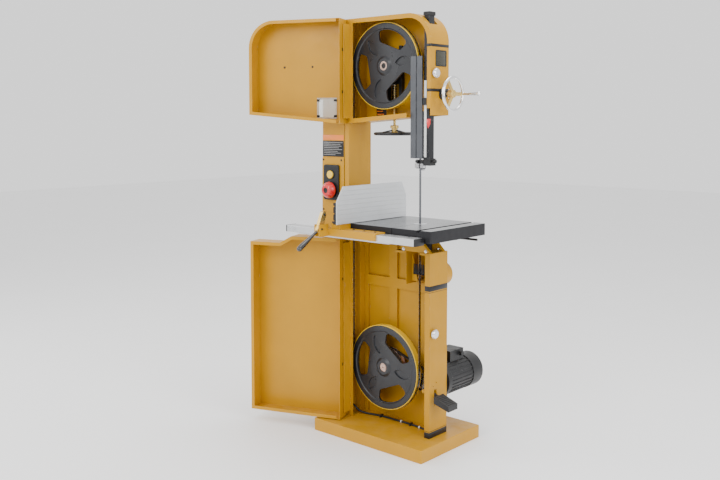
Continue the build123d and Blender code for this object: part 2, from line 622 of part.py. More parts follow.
with BuildPart() as pinion:
    with BuildSketch(Plane.YZ.offset(rack_x[0] + 1)):
        with Locations((crank_y, pinion_z)):
            Circle(pinion_r - module)
            with PolarLocations(pinion_r - 0.2 * module, pinion_teeth, start_angle=180 / pinion_teeth):
                Trapezoid(0.53 * pitch, 1.9 * module, 78, rotation=-90)
    extrude(amount=rack_x[1] - rack_x[0] - 2)
    rod_x(crank_y, pinion_z, (rack_x[1] - 1, right_x + 42), 7)
save(pinion, "pinion_shaft")

with BuildPart() as post_bracket:
    rod_x(crank_y, pinion_z, (right_x, right_x + 6), 24)
    rod_x(crank_y, pinion_z, (right_x - 10, right_x + 20), 14)
    block((right_x - 10, right_x - sheet), (crank_y - 14, back_y), (pinion_z - 46, pinion_z))
    block((post_x0, right_x - sheet), (post_y0 - 8, back_y), (pinion_z - 46, pinion_z - 16))
    block((post_x0 - 1, post_x1 + gap), (post_y0 - gap, post_y1 + gap), (pinion_z - 60, pinion_z), mode=Mode.SUBTRACT)
    block((rack_x[0] - 2, rack_x[1] + 2), (post_y1 - 2, post_y1 + 10), (pinion_z - 60, pinion_z), mode=Mode.SUBTRACT)
    rod_x(crank_y, pinion_z, (right_x - 12, right_x + 22), 7 + run, mode=Mode.SUBTRACT)
save(post_bracket, "guide_post_bracket")

crank_plane = Plane(origin=(right_x + 56, crank_y, pinion_z), x_dir=(0, 1, 0), z_dir=(1, 0, 0))
crank_r = 69.0
with BuildPart() as crank_rim:
    handwheel_rim(crank_r, 6.5)
    rod_z(crank_r, 0, (0, 12), 6)
    rod_z(crank_r, 0, (12, 76), 7)
    with Locations((crank_r, 0, 82)):
        Sphere(10)
save(placed(crank_rim, crank_plane), "guide_handwheel_rim")

with BuildPart() as crank_hub:
    rod_z(0, 0, (-18, 6), 17)
    with PolarLocations(0, 3):
        with Locations(Location((38, 0, -4), (0, 4, 0))):
            Box(56, 16, 7)
    fillet(crank_hub.edges().filter_by(GeomType.CIRCLE).sort_by(Axis.Z)[-1], 3)
    with BuildSketch(Plane.XZ):
        with Locations((crank_r, 0)):
            Circle(6.5)
    revolve(axis=Axis.Z, mode=Mode.SUBTRACT)
    rod_z(0, 0, (-19, -14), 7, mode=Mode.SUBTRACT)
save(placed(crank_hub, crank_plane), "guide_handwheel_hub")


with BuildPart() as guard:
    block((guard_x0, guard_x1), (guard_y, guard_y + 5), (guard_z0, guard_z1))
    block((guard_x0 - 1, guard_x1 - 2), (guard_y + 2, guard_y + 6), (guard_z0 - 1, guard_z1 + 1), mode=Mode.SUBTRACT)
    block((blade_x - 4, blade_x + 4), (guard_y + 2, guard_y + 5), (guard_z0, guard_z1))
    block((blade_x - 2.5, blade_x + 2.5), (guard_y - 1, guard_y + 3.4), (guard_z0 - 1, guard_z1 + 1), mode=Mode.SUBTRACT)
    block((guard_x1 - 2, guard_x1), (guard_y, -18), (guard_z0, post_z0 + 200))
save(guard, "blade_guard")

roller_r, roller_t, roller_gap = 13.0, 8.0, 0.4
guide_z = 1217.0
thrust_z = guide_z - 8.0
thrust_y = blade_y + blade_w + roller_gap + roller_r
roller_y = blade_y + 6.0
roller_xs = [blade_x + side * (roller_r + roller_gap + blade_t / 2) for side in (-1, 1)]


def side_rollers(z0, z1):
    """The pair of bearing rollers beside the blade, bored for their pins, in the open part."""
    for x in roller_xs:
        rod_z(x, roller_y, (z0, z1), roller_r)
        rod_z(x, roller_y, (z0 - 1, z1 + 1), 4 + run, mode=Mode.SUBTRACT)


def side_pins(low, high, head):
    """The two pins that the side rollers turn on, with a head at one end, in the open part."""
    for x in roller_xs:
        rod_z(x, roller_y, (low, high), 4)
        rod_z(x, roller_y, (min(head, head + 3), max(head, head + 3)), 6.5)


def back_axle(z, reach):
    """The thrust roller's axle and the fork that holds it, in the open part."""
    rod_x(thrust_y, z, (blade_x - 9, blade_x + 9), 3)
    for side in (-1, 1):
        x = blade_x + side * 7
        block((x - 2, x + 2), (thrust_y - 5, thrust_y + 5), (min(z - 5, reach), max(z + 5, reach)))


with BuildPart() as guide_body:
    block((post_x0 - 4, post_x1 + 4), (post_y0 + 4, post_y1 + 6), (guide_z + 3, post_z0))
    block((blade_x - 34, post_x0), (-19, -9), (guide_z + 10 + gap, guide_z + 26))
    for side in (-1, 1):
        x = blade_x + side * (roller_r + roller_gap + blade_t / 2)
        block((x - 7, x + 7), (-42, -9), (guide_z + 14 + gap, guide_z + 24))
    block((blade_x - 9, blade_x + 9), (-10, 22), (guide_z + 6, guide_z + 16))
    side_pins(guide_z - roller_t - 0.3, guide_z + 15 + gap, guide_z - roller_t - 3)
    back_axle(thrust_z, guide_z + 7)
    rod_x(-34, guide_z + 22, (post_x1 + 3, post_x1 + 12), 4)
    rod_x(-34, guide_z + 22, (post_x1 + 12, post_x1 + 24), 8)
save(guide_body, "upper_guide_body")


with BuildPart() as upper_rollers:
    side_rollers(guide_z - roller_t, guide_z + 10)
    y = thrust_y
    rod_x(y, thrust_z, (blade_x - 2.5, blade_x + 2.5), roller_r)
    rod_x(y, thrust_z, (blade_x - 5, blade_x + 5), 3 + run, mode=Mode.SUBTRACT)
save(upper_rollers, "upper_guide_rollers")

# ---- table, trunnions and fence ----
table_x0, table_y1 = table_x1 - table_w, table_y0 + table_d
with BuildPart() as table:
    block((table_x0, table_x1), (table_y0, table_y1), (table_top - skirt_h, table_top))
    fillet(table.edges().filter_by(Axis.Z), 6)
    fillet(table.edges().group_by(Axis.Z)[-1], 1.5)
    block((table_x0 + skirt_t, table_x1 - skirt_t), (table_y0 + skirt_t, table_y1 - skirt_t),
          (table_top - skirt_h - 1, table_top - table_t), mode=Mode.SUBTRACT)
    block((miter_x - 16, miter_x + 16), (table_y0 + skirt_t, table_y1 - skirt_t), (table_top - 18, table_top - table_t))
    block((miter_x - miter_w / 2, miter_x + miter_w / 2), (table_y0 - 1, table_y1 + 1),
          (table_top - miter_depth, table_top + 1), mode=Mode.SUBTRACT)
    block((blade_x - slot_w / 2, blade_x + slot_w / 2), (table_y0 - 1, -30), (table_top - skirt_h - 1, table_top + 1),
          mode=Mode.SUBTRACT)
    rod_z(blade_x, -30, (table_top - insert_t, table_top + 1), insert_r, mode=Mode.SUBTRACT)
    rod_z(blade_x, -30, (table_top - 30, table_top + 1), insert_r - 4, mode=Mode.SUBTRACT)
save(table, "table")

with BuildPart() as insert:
    rod_z(blade_x, -30, (table_top - insert_t, table_top - 0.2), insert_r - 0.2)
    with BuildSketch(front_plane(-30 - insert_r - 2)):
        with BuildLine():
            Polyline((blade_x - 1.6, table_top + 1), (blade_x + 1.6, table_top + 1),
                     (blade_x + 8.5, table_top - insert_t - 1), (blade_x - 2.4, table_top - insert_t - 1), close=True)
        make_face()
    extrude(amount=-(insert_r + 16), mode=Mode.SUBTRACT)
save(insert, "table_insert")

with BuildPart() as segments:
    for y in trunnion_y:
        with BuildSketch(front_plane(y)) as arc:
            with Locations((tilt_x, table_top)):
                Circle(tilt_r)
                Circle(tilt_r - 30, mode=Mode.SUBTRACT)
            with Locations((tilt_x, table_top - table_t + tilt_r)):
                Rectangle(3 * tilt_r, 2 * tilt_r, mode=Mode.SUBTRACT)
            with BuildLine():
                Polyline((tilt_x, table_top), (tilt_x - 2 * tilt_r, table_top - 1.24 * tilt_r),
                         (tilt_x - 2 * tilt_r, table_top), close=True)
            make_face(mode=Mode.SUBTRACT)
            with Locations((tilt_x - 68, table_top - table_t - 18)):
                Rectangle(16, 36)
        extrude(arc.sketch, amount=-trunnion_t)
    with BuildSketch(front_plane(-110)) as gusset:
        with BuildLine():
            Polyline((-86, table_top - table_t), (-8, table_top - table_t), (-8, 912), (-44, 890), (-86, 912),
                     close=True)
        make_face()
    extrude(gusset.sketch, amount=-10)
    rod_y(246, lock_z, (lock_y - 16, lock_y + 9), 4)
    block((238, 254), (lock_y - 16, lock_y - 9), (lock_z - 8, table_top - table_t))
save(segments, "table_trunnions")

with BuildPart() as cradles:
    for y in trunnion_y:
        with BuildSketch(front_plane(y)) as cradle:
            with BuildLine():
                Polyline((tilt_x - 66, deck_z), (tilt_x + 88, deck_z), (tilt_x + 88, table_top - 116),
                         (tilt_x + 46, table_top - 74), (tilt_x + 30, table_top - 74),
                         (tilt_x + 30, table_top - 70), (tilt_x - 66, table_top - 60), close=True)
            make_face()
            with Locations((tilt_x, table_top)):
                Circle(tilt_r + tilt_gap, mode=Mode.SUBTRACT)
        extrude(cradle.sketch, amount=-trunnion_t)
save(cradles, "trunnion_cradles")

lower_guide_z = 893.0
with BuildPart() as lower_guide:
    block((blade_x - 34, blade_x + 30), (-19, -9), (lower_guide_z - 20, lower_guide_z - 6))
    for side in (-1, 1):
        x = blade_x + side * (roller_r + roller_gap + blade_t / 2)
        block((x - 7, x + 7), (-42, -9), (lower_guide_z - 24, lower_guide_z - 14 - gap))
    block((blade_x - 34, blade_x - 22), (-19, 10), (deck_z, lower_guide_z - 6))
    block((blade_x - 34, blade_x + 30), (4.5, 14), (deck_z, lower_guide_z - 6))
    side_pins(lower_guide_z - 15 - gap, lower_guide_z + 4.3, lower_guide_z + 4.3)
save(lower_guide, "lower_guide_body")


with BuildPart() as lower_rollers:
    side_rollers(lower_guide_z - 10, lower_guide_z + 4)
save(lower_rollers, "lower_guide_rollers")

with BuildPart() as rail:
    block((rail_x0, rail_x1), (rail_y0, rail_y1), (rail_z0, rail_z1))
    fillet(rail.edges().filter_by(Axis.X), 2)
    block((rail_x0 - 1, rail_x1 + 1), (rail_y0 + 3, rail_y1 - 3), (rail_z0 + 3, rail_z1 - 3), mode=Mode.SUBTRACT)
    block((-330, 190), (rail_y0 + 6, rail_y1), (rail_z0 - 4, rail_z0))
    block((table_x0 + 12, 190), (rail_y1, table_y0), (rail_z0 - 4, rail_z0 + 18))
save(rail, "fence_rail")

lever_x, pivot = -150.0, (-338.0, 948.0)
head_z0 = rail_z1 + gap
with BuildPart() as fence_head:
    block((-172, 128), (rail_y0 - 2, rail_y1 + 1), (head_z0, head_z0 + 6))
    block((-172, 128), (rail_y0 - 8, rail_y0 - gap), (rail_z0 + 4, head_z0 + 6))
    block((-120, fence_x - fence_t - 1), (rail_y0 - 2, table_y0 - 1), (head_z0 + 6, fence_z))
    for x in (lever_x - 16, lever_x + 9):
        block((x, x + 7), (-352, rail_y0 - 8), (rail_z0 + 4, 968))
    rod_x(pivot[0], pivot[1], (lever_x - 17, lever_x + 17), 5 + run, mode=Mode.SUBTRACT)
save(fence_head, "fence_head")

with BuildPart() as fence_body:
    block((fence_x - 23, fence_x - fence_t), (fence_y0 + 2, fence_y1 - 8), (fence_z, fence_z + 92))
    for z in (fence_z + 14, fence_z + 46, fence_z + 78):
        block((fence_x - 24, fence_x - 17), (fence_y0, fence_y1), (z - 3, z + 3), mode=Mode.SUBTRACT)
    block((fence_x - 52, fence_x - 24), (fence_y0 + 90, fence_y1 - 8), (table_top + 2, table_top + 30))
    block((fence_x - 52, fence_x - 23), (fence_y0 + 90, fence_y0 + 130), (fence_z, fence_z + 20))
    block((fence_x - 26, fence_x - 23), (fence_y0 + 90, fence_y1 - 8), (fence_z, fence_z + 20))
save(fence_body, "fence_extrusion")

with BuildPart() as fence_face:
    with BuildSketch(Plane.YZ.offset(fence_x - fence_t)):
        with BuildLine():
            Polyline((fence_y0, fence_z), (fence_y1, fence_z), (fence_y1, fence_z + 100),
                     (fence_y1 - 31, fence_z + fence_h), (fence_y0 + 41, fence_z + fence_h), (fence_y0, fence_z + 97),
                     close=True)
        make_face()
    extrude(amount=fence_t)
    for step in range(1, 8):
        z = fence_z + step * fence_h / 8
        block((fence_x - 0.9, fence_x + 1), (fence_y0 - 1, fence_y1 + 1), (z - 1.3, z + 1.3), mode=Mode.SUBTRACT)
save(fence_face, "fence_face")

with BuildPart() as lever_plate:
    with BuildSketch(Plane.YZ.offset(lever_x - 8)):
        with BuildLine():
            Polyline((-322, 1022), (-306, 1022), (-302, 1008), (-326, 936), (-352, 932), (-357, 944), close=True)
        make_face()
        fillet(vertices(), 4)
    extrude(amount=16)
    rod_x(pivot[0], pivot[1], (lever_x - 16, lever_x + 16), 5)
save(lever_plate, "fence_lever")

grip_way = (-0.855, -0.519)
grip_len = 128.0
with BuildPart() as lever_grip:
    with BuildSketch(Plane.XZ):
        with BuildLine():
            Polyline((0, grip_len), (0, 0), (6, 0), (6, 20))
            ThreePointArc((6, 20), (9.5, 60), (12, 100))
            Line((12, 100), (12, grip_len - 12))
            RadiusArc((12, grip_len - 12), (0, grip_len), -12)
        make_face()
    revolve(axis=Axis.Z)
grip_plane = Plane(origin=(lever_x, -357, 935.8), x_dir=(1, 0, 0), z_dir=(0, grip_way[0], grip_way[1]))
save(placed(lever_grip, grip_plane), "fence_lever_grip")

with BuildPart() as tilt_lever:
    rod_x(lock_y, lock_z, (252, 352), 5)
    fillet(tilt_lever.edges().filter_by(GeomType.CIRCLE), 2)
    rod_y(246, lock_z, (lock_y - 8, lock_y + 8), 9)
    rod_y(246, lock_z, (lock_y - 10, lock_y + 10), 4 + run, mode=Mode.SUBTRACT)
save(tilt_lever, "tilt_lock_lever")

# ---- doors, drawn shut and swung open ----
def door_pan(outline, z_mid):
    """A pressed door: a front panel with walls all round and a lip turned in at the rim."""
    with BuildPart() as pan:
        with BuildSketch(front_plane(door_front)):
            with BuildLine():
                Polyline(*outline, close=True)
            make_face()
        extrude(amount=-(door_rim - door_front))
        fillet(pan.faces().sort_by(Axis.Y)[0].edges(), 2.5)
        with BuildSketch(front_plane(door_front + door_t)) as inside:
            with BuildLine():
                Polyline(*outline, close=True)
            make_face()
            offset(amount=-door_t, kind=Kind.INTERSECTION, mode=Mode.REPLACE)
        extrude(inside.sketch, amount=-(door_rim - door_front - 2 * door_t), mode=Mode.SUBTRACT)
        with BuildSketch(front_plane(door_rim - door_t - 1)) as mouth:
            with BuildLine():
                Polyline(*outline, close=True)
            make_face()
            offset(amount=-door_lip, kind=Kind.INTERSECTION, mode=Mode.REPLACE)
        extrude(mouth.sketch, amount=-(door_t + 3), mode=Mode.SUBTRACT)
        block((door_side + door_t, door_side + door_lip + 2), (door_rim - door_t - 1, door_rim + 1),
              (z_mid[0], z_mid[1]), mode=Mode.SUBTRACT)
    return pan


def corner_points(steps):
    """Points round the housing's corner, for the upper door's outline."""
    r = corner_r - 2
    cx, cz = door_x1 - r, upper_door_z1 - r
    return [(cx + r * sin(radians(90 * i / steps)), cz + r * cos(radians(90 * i / steps))) for i in range(steps + 1)]


win_x0, win_x1, win_z0, win_z1 = door_side + 54, door_side + 136, 1427.0, 1506.0
upper_low_left, upper_low_right = floor_left - 1.0, floor_right + 4.0
upper_outline = [(door_side, upper_low_left), (door_side, upper_door_z1)]
upper_outline += corner_points(12)
upper_outline += [(door_x1, upper_low_right)]
upper_pan = door_pan(upper_outline, (upper_low_left + door_t, upper_door_z1 - door_t))
with BuildPart() as upper_door:
    add(upper_pan.part)
    block((win_x0, win_x1), (door_front - 1, door_front + door_t + 1), (win_z0, win_z1), mode=Mode.SUBTRACT)
    hinge_moving(*upper_hinge)
save_open(upper_door, "upper_door")

with BuildPart() as door_window:
    block((win_x0 - 8, win_x1 + 8), (door_front + door_t, door_front + door_t + 3), (win_z0 - 8, win_z1 + 8))
save_open(door_window, "door_window")

ramp0, ramp1 = door_side + 239, door_side + 297
lower_outline = [(door_side, lower_door_z0), (door_side, lower_door_z1), (ramp0, lower_door_z1),
                 (ramp1, lower_door_z1 - lower_door_step), (door_x1, lower_door_z1 - lower_door_step),
                 (door_x1, lower_door_z0)]
lower_pan = door_pan(lower_outline, (lower_door_z0 + door_t, lower_door_z1 - door_t))
with BuildPart() as lower_door:
    add(lower_pan.part)
    hinge_moving(*lower_hinge)
save_open(lower_door, "lower_door")


def latch(z):
    """A round door latch knob on the right wall, with its shaft and inner cam."""
    with BuildPart() as knob:
        rod_x(-58, z, (right_x + 1, right_x + 7), 16)
        rod_x(-58, z, (right_x + 7, right_x + 20), 20)
        fillet(knob.edges().filter_by(GeomType.CIRCLE).sort_by(Axis.X)[-1], 8)
        rod_x(-58, z, (right_x - 16, right_x + 2), 6)
        block((right_x - 14, right_x - 10), (-64, -52), (z - 6, z + 18))
    return knob


save(latch(1609), "upper_door_latch")
save(latch(507), "lower_door_latch")

# ---- brake pedal ----
with BuildPart() as pedal:
    with BuildSketch(front_plane(pedal_y - 4)):
        with BuildLine():
            Polyline((184, 238), (184, 254), (206, 256), (300, 226), (300, 210), (204, 238), close=True)
        make_face()
    extrude(amount=-8)
    with BuildSketch(front_plane(pedal_y - 36)):
        with BuildLine():
            Polyline((268, 240), (344, 214), (344, 190), (341, 190), (341, 212), (268, 237), close=True)
        make_face()
    extrude(amount=-66)
    for y in (pedal_y - 36, pedal_y + 27):
        with BuildSketch(front_plane(y)):
            with BuildLine():
                Polyline((268, 240), (344, 214), (344, 190), (268, 212), close=True)
            make_face()
        extrude(amount=-3)
    rod_y(pedal_pivot[0], pedal_pivot[1], (pedal_y - 8, pedal_y + 8), 12)
    rod_y(pedal_pivot[0], pedal_pivot[1], (pedal_y - 9, pedal_y + 9), pedal_pin_r + run, mode=Mode.SUBTRACT)
save(pedal, "brake_pedal")

# ---- switch cable along the cabinet floor ----
cable_r = 4.5
cable_z = base_h + cable_r + 0.5
route = [(spine_step + 1, -44, 96), (-214, -43, 94), (-192, -36, 70), (-160, -18, cable_z), (-112, -4, cable_z),
         (-58, 3, cable_z), (0, 1, cable_z), (58, 4, cable_z), (112, -1, cable_z), (160, -6, cable_z),
         (196, -18, cable_z), (222, -18, cable_z)]


def bend_radii(points):
    """The largest fillet that each corner of a route leaves room for."""
    radii = []
    for a, b, c in zip(points, points[1:], points[2:]):
        u, v = Vector(*b) - Vector(*a), Vector(*c) - Vector(*b)
        half = radians(u.get_angle(v)) / 2
        radii.append(0.45 * min(u.length, v.length) * cos(half) / sin(half))
    return radii


with BuildPart() as cable:
    with BuildLine() as way:
        FilletPolyline(*route, radius=bend_radii(route))
    start = way.line @ 0
    with BuildSketch(Plane(origin=start, z_dir=way.line % 0)):
        Circle(cable_r)
    sweep()
save(cable, "switch_cable")

with BuildPart() as fittings:
    rod_x(-44, 96, (spine_step, spine_step + 8), 12)
    rod_x(-44, 96, (spine_step - 1, spine_step + 9), cable_r + 1.2, mode=Mode.SUBTRACT)
    for x, y in ((-85, 0), (85, 2)):
        block((x - 4, x + 4), (y - 12, y + 12), (base_h, base_h + 2.5))
        block((x - 4, x + 4), (y - 9, y + 9), (base_h, cable_z + cable_r + 3))
        rod_x(y, cable_z, (x - 5, x + 5), cable_r + 1.5, mode=Mode.SUBTRACT)
    block((222, right_x - sheet), (-32, -4), (base_h, base_h + 44))
save(fittings, "cable_fittings")
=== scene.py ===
import json
from math import cos, radians, sin, tau

import bmesh
import bpy
from mathutils import Matrix, Vector


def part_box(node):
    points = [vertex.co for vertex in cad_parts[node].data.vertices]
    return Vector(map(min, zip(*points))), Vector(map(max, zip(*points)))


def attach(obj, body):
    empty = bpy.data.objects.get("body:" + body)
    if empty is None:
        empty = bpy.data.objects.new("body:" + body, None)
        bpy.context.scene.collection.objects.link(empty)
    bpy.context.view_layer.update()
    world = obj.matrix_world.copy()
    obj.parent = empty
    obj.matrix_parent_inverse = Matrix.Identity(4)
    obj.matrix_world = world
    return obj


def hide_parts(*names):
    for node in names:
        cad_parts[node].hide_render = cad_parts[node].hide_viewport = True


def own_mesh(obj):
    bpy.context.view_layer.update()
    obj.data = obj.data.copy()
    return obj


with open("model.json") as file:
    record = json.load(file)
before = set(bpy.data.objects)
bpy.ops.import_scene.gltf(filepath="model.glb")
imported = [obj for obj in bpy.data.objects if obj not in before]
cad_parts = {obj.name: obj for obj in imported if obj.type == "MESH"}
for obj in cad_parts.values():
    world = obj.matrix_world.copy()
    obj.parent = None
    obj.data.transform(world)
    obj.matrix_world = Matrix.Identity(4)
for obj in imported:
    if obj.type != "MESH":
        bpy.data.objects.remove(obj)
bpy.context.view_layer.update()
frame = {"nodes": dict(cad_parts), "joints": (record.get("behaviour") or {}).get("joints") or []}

# A floor-standing band saw in mustard powder coat. Metres, +Z up, +X to the operator's right.

nodes = frame["nodes"]
joints = {joint["name"]: joint for joint in frame["joints"]}
hinge = Vector(joints["upper_door_hinge"]["pos_m"])
door_swing = radians(joints["upper_door_hinge"]["range_deg"][1])
mm = 0.001

# ---- lines of the cabinets, read from the frame ----
housing_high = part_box("upper_housing")[1]
rail_low, rail_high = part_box("fence_rail")
post_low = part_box("guide_post")[0]
panel_low, panel_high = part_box("control_panel")
blade_low, blade_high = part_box("saw_blade")
wheel_low, wheel_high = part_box("lower_wheel")
wall_x = housing_high.x
front_y = -82 * mm              # front plane of the cabinets
column_y = -81 * mm             # front face of the column
door_hinge_x = -200.5 * mm      # a shut door's hinge flange
door_free_x = 247 * mm          # a shut door's free edge
door_front_y = -168 * mm        # inner face of a shut door's front sheet
band_t = 0.4 * mm               # a black band stands off its wall by this much


# ---- materials ----
def node_adder(tree):
    """A small function that adds a node to a tree and sets its sockets or its properties."""
    def add(kind, **values):
        node = tree.nodes.new(kind)
        for key, value in values.items():
            if key in node.inputs:
                node.inputs[key].default_value = value
            else:
                setattr(node, key, value)
        return node

    return add


def new_material(name):
    """A material with its tree, its Principled shader and the function that adds nodes to it."""
    material = bpy.data.materials.new(name)
    material.use_nodes = True
    tree = material.node_tree
    return material, tree, tree.nodes["Principled BSDF"], node_adder(tree)


def ranged(tree, add, source, low, high, to_low, to_high):
    """A value mapped from one range to another, and clamped."""
    node = add("ShaderNodeMapRange")
    tree.links.new(source, node.inputs["Value"])
    for key, value in (("From Min", low), ("From Max", high), ("To Min", to_low), ("To Max", to_high)):
        node.inputs[key].default_value = value
    return node.outputs["Result"]


def mixed(tree, add, factor, one, two):
    """Two colours or sockets mixed by a factor socket."""
    node = add("ShaderNodeMix", data_type="RGBA")
    tree.links.new(factor, node.inputs["Factor"])
    for value, socket in ((one, node.inputs["A"]), (two, node.inputs["B"])):
        if isinstance(value, bpy.types.NodeSocket):
            tree.links.new(value, socket)
        else:
            socket.default_value = (*value, 1)
    return node.outputs["Result"]


def noise(tree, add, scale, detail=4.0, stretch=(1, 1, 1), kind="ShaderNodeTexNoise"):
    """A noise over the object's own coordinates, stretched along its axes."""
    place = add("ShaderNodeTexCoord")
    squeeze = add("ShaderNodeMapping")
    squeeze.inputs["Scale"].default_value = stretch
    tree.links.new(place.outputs["Object"], squeeze.inputs["Vector"])
    texture = add(kind, Scale=scale)
    if "Detail" in texture.inputs:
        texture.inputs["Detail"].default_value = detail
    tree.links.new(squeeze.outputs["Vector"], texture.inputs["Vector"])
    return texture.outputs[0]


def surface(name, color, rough, metallic=0.0, worn=None, wear=0.5, grain=900, bump=0.08, stretch=(1, 1, 1),
            mottling=0.12, dust=0.0, coat=0.0, edge=1.2, rough_span=0.1, gloss=0.5):
    """A finish with mottled colour, uneven gloss, fine relief, rounded edges and wear along them."""
    material, tree, shader, add = new_material(name)
    link = tree.links.new
    shader.inputs["Metallic"].default_value = metallic
    shader.inputs["Coat Weight"].default_value = coat
    shader.inputs["Specular IOR Level"].default_value = gloss
    shader.inputs["Coat Roughness"].default_value = 0.15
    broad = noise(tree, add, 7.0, 5.0)
    dark = tuple(c * (1 - mottling) for c in color)
    light = tuple(min(1, c * (1 + mottling)) for c in color)
    shade = mixed(tree, add, ranged(tree, add, broad, 0.3, 0.7, 0, 1), dark, light)
    rounding = add("ShaderNodeBevel", samples=4, Radius=edge * mm)
    geometry = add("ShaderNodeNewGeometry")
    if worn:
        facing = add("ShaderNodeVectorMath", operation="DOT_PRODUCT")
        link(rounding.outputs["Normal"], facing.inputs[0])
        link(geometry.outputs["Normal"], facing.inputs[1])
        rim = ranged(tree, add, facing.outputs["Value"], 0.99, 0.86, 0, 1)
        patches = ranged(tree, add, noise(tree, add, 55.0, 6.0), 0.62 - 0.2 * wear, 0.66, 0, 1)
        chips = add("ShaderNodeMath", operation="MULTIPLY")
        link(rim, chips.inputs[0])
        link(patches, chips.inputs[1])
        shade = mixed(tree, add, chips.outputs[0], shade, worn)
    if dust:
        split = add("ShaderNodeSeparateXYZ")
        link(geometry.outputs["Normal"], split.inputs[0])
        upward = ranged(tree, add, split.outputs["Z"], 0.6, 1.0, 0, dust)
        haze = add("ShaderNodeMath", operation="MULTIPLY")
        link(upward, haze.inputs[0])
        link(ranged(tree, add, noise(tree, add, 22.0, 8.0), 0.35, 0.7, 0, 1), haze.inputs[1])
        shade = mixed(tree, add, haze.outputs[0], shade, (0.62, 0.55, 0.44))
    link(shade, shader.inputs["Base Color"])
    smudge = noise(tree, add, 30.0, 6.0)
    link(ranged(tree, add, smudge, 0.3, 0.75, max(0.03, rough - rough_span), rough + rough_span),
         shader.inputs["Roughness"])
    relief = add("ShaderNodeBump", Strength=bump, Distance=0.3 * mm)
    link(noise(tree, add, grain, 3.0, stretch), relief.inputs["Height"])
    link(rounding.outputs["Normal"], relief.inputs["Normal"])
    link(relief.outputs["Normal"], shader.inputs["Normal"])
    return material


def table_finish():
    """Ground iron on top with straight machining marks, black paint on the sides."""
    material = surface("ground_iron_table", (0.012, 0.012, 0.014), 0.5, worn=(0.2, 0.2, 0.21), grain=500,
                       bump=0.25, gloss=0.25)
    tree = material.node_tree
    shader = tree.nodes["Principled BSDF"]
    add = node_adder(tree)
    geometry = add("ShaderNodeNewGeometry")
    split = add("ShaderNodeSeparateXYZ")
    tree.links.new(geometry.outputs["True Normal"], split.inputs[0])
    top = ranged(tree, add, split.outputs["Z"], 0.9, 0.98, 0, 1)
    marks = noise(tree, add, 160.0, 6.0, (0.12, 9, 1))
    streaks = ranged(tree, add, marks, 0.3, 0.7, 0, 1)
    ground = mixed(tree, add, streaks, (0.20, 0.205, 0.21), (0.34, 0.345, 0.35))
    stain = ranged(tree, add, noise(tree, add, 9.0, 8.0), 0.5, 0.75, 0, 0.5)
    ground = mixed(tree, add, stain, ground, (0.13, 0.13, 0.135))
    painted = shader.inputs["Base Color"].links[0].from_socket
    tree.links.new(mixed(tree, add, top, painted, ground), shader.inputs["Base Color"])
    tree.links.new(top, shader.inputs["Metallic"])
    polish = ranged(tree, add, marks, 0.3, 0.7, 0.22, 0.36)
    blend = add("ShaderNodeMix", data_type="FLOAT")
    tree.links.new(top, blend.inputs["Factor"])
    tree.links.new(shader.inputs["Roughness"].links[0].from_socket, blend.inputs["A"])
    tree.links.new(polish, blend.inputs["B"])
    tree.links.new(blend.outputs["Result"], shader.inputs["Roughness"])
    return material


def clear_finish(name, color, rough, alpha):
    """Clear moulded sheet with faint scratches."""
    material, tree, shader, add = new_material(name)
    shader.inputs["Base Color"].default_value = (*color, 1)
    shader.inputs["Alpha"].default_value = alpha
    shader.inputs["IOR"].default_value = 1.49
    scratches = noise(tree, add, 240.0, 4.0, (0.05, 1, 3))
    tree.links.new(ranged(tree, add, scratches, 0.4, 0.7, rough, rough + 0.2), shader.inputs["Roughness"])
    relief = add("ShaderNodeBump", Strength=0.05, Distance=0.2 * mm)
    tree.links.new(scratches, relief.inputs["Height"])
    tree.links.new(relief.outputs["Normal"], shader.inputs["Normal"])
    return material


gold = (0.46, 0.225, 0.002)
bare = (0.45, 0.44, 0.42)
paint = surface("mustard_powder_coat", gold, 0.40, worn=bare, wear=0.15, grain=420, bump=0.10, mottling=0.05,
                dust=0.06, coat=0.04, gloss=0.3)
# paint for the cabinet's inside: the mustard colour darkened to 0.92 as painted shade, with more dust
shaded_inner_paint = surface("mustard_inside_painted_shade", tuple(c * 0.92 for c in gold), 0.48, worn=bare, wear=0.15, grain=420,
                      bump=0.12, mottling=0.07, dust=0.12, gloss=0.28)
wheel_black = surface("black_wheel_casting", (0.014, 0.015, 0.018), 0.36, worn=(0.22, 0.22, 0.23), wear=0.5,
                      grain=330, bump=0.16, mottling=0.25, coat=0.1, gloss=0.4)
machine_black = surface("black_machine_paint", (0.012, 0.012, 0.013), 0.42, worn=(0.2, 0.2, 0.2), wear=0.4,
                        grain=500, bump=0.15, mottling=0.3, dust=0.03, gloss=0.35)
moulded_black = surface("moulded_black", (0.010, 0.010, 0.011), 0.4, worn=(0.09, 0.09, 0.09), grain=1400,
                        bump=0.2, mottling=0.2, edge=0.8, gloss=0.35)
grip_black = surface("grip_black", (0.014, 0.014, 0.015), 0.16, worn=(0.06, 0.06, 0.06), grain=200,
                     bump=0.03, coat=0.5)
rubber = surface("belt_rubber", (0.012, 0.012, 0.013), 0.7, grain=700, bump=0.4, mottling=0.3)
urethane = surface("yellow_urethane", (0.78, 0.50, 0.02), 0.38, worn=(0.35, 0.25, 0.08), grain=600, bump=0.2,
                   mottling=0.15)
guard_grey = surface("grey_anodised_guard", (0.085, 0.09, 0.10), 0.38, metallic=0.5, worn=(0.35, 0.35, 0.36),
                     grain=260, bump=0.12, stretch=(14, 14, 0.15), mottling=0.15)
post_black = surface("blackened_post", (0.03, 0.031, 0.034), 0.30, metallic=0.7, worn=(0.4, 0.4, 0.4),
                     grain=240, bump=0.1, stretch=(14, 14, 0.15), mottling=0.2)
silver = surface("extruded_aluminium", (0.60, 0.61, 0.62), 0.34, metallic=0.75, worn=(0.75, 0.75, 0.75),
                 grain=220, bump=0.10, stretch=(0.15, 0.15, 12), mottling=0.06)
